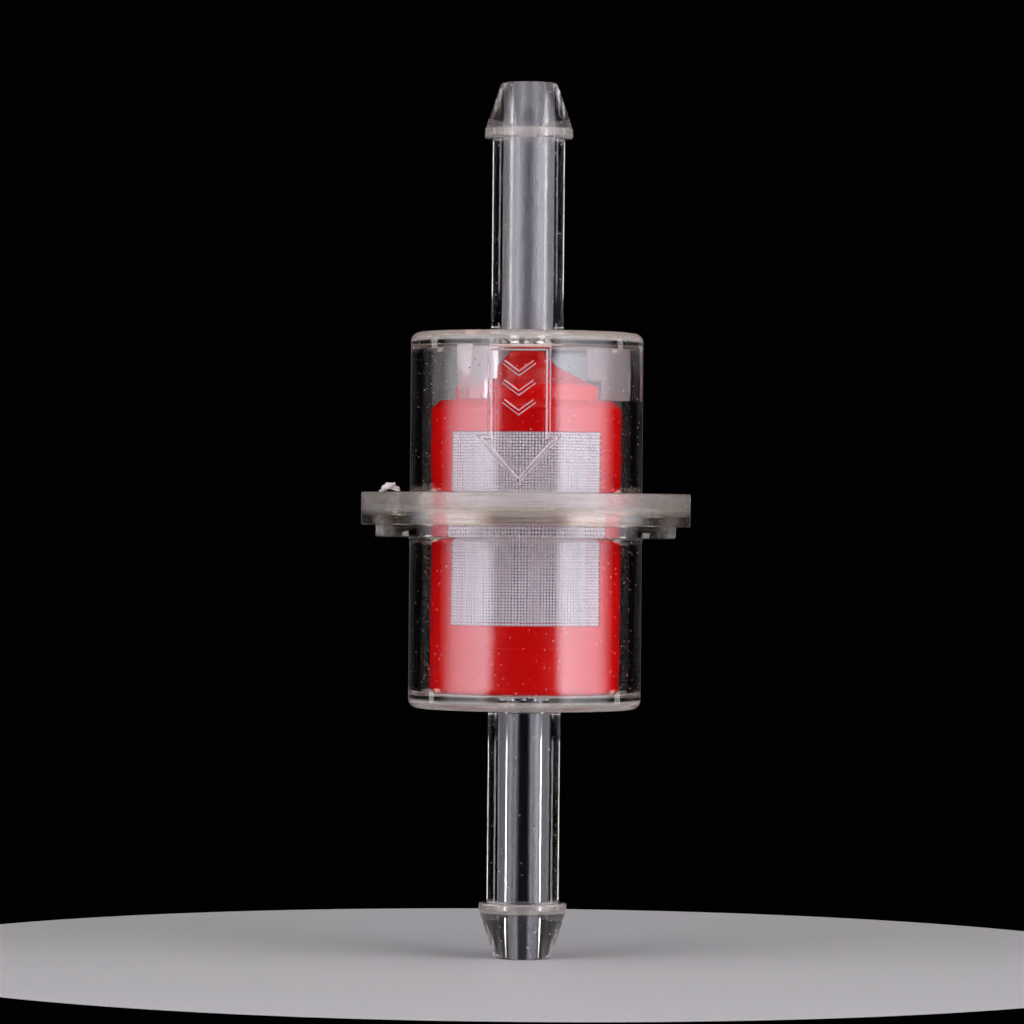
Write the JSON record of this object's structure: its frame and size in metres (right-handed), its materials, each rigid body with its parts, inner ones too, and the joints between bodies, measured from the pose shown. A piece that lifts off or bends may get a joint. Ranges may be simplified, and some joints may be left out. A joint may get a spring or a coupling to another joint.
{
  "type": "fuel filter",
  "caption": "In-line fuel filter: clear welded body with a barbed hose tail at each end, holding a red cage whose windows carry fine screens.",
  "frame": {"origin": "on the flow axis, midway between the two tips, which is the centre of the bounding box", "axes": "+Z along the flow axis towards the inlet, -Y towards the side with the flow arrow, +X to the right when looking at the arrow"},
  "size_m": [0.0292, 0.0292, 0.0776],
  "materials": {
    "clear_plastic": "clear, glossy, faintly warm where it is thick",
    "red_plastic": "opaque red, glossy",
    "screen_cloth": "white woven nylon",
    "weld_plastic": "cloudy, remelted",
    "flash_plastic": "frosted white"
  },
  "bodies": {
    "root": {"inlet_housing": "clear_plastic", "outlet_housing": "clear_plastic", "filter_cage": "red_plastic", "front_screen": "screen_cloth", "rear_screen": "screen_cloth", "weld_bead": "weld_plastic", "weld_flash": "flash_plastic"}
  },
  "joints": []
}
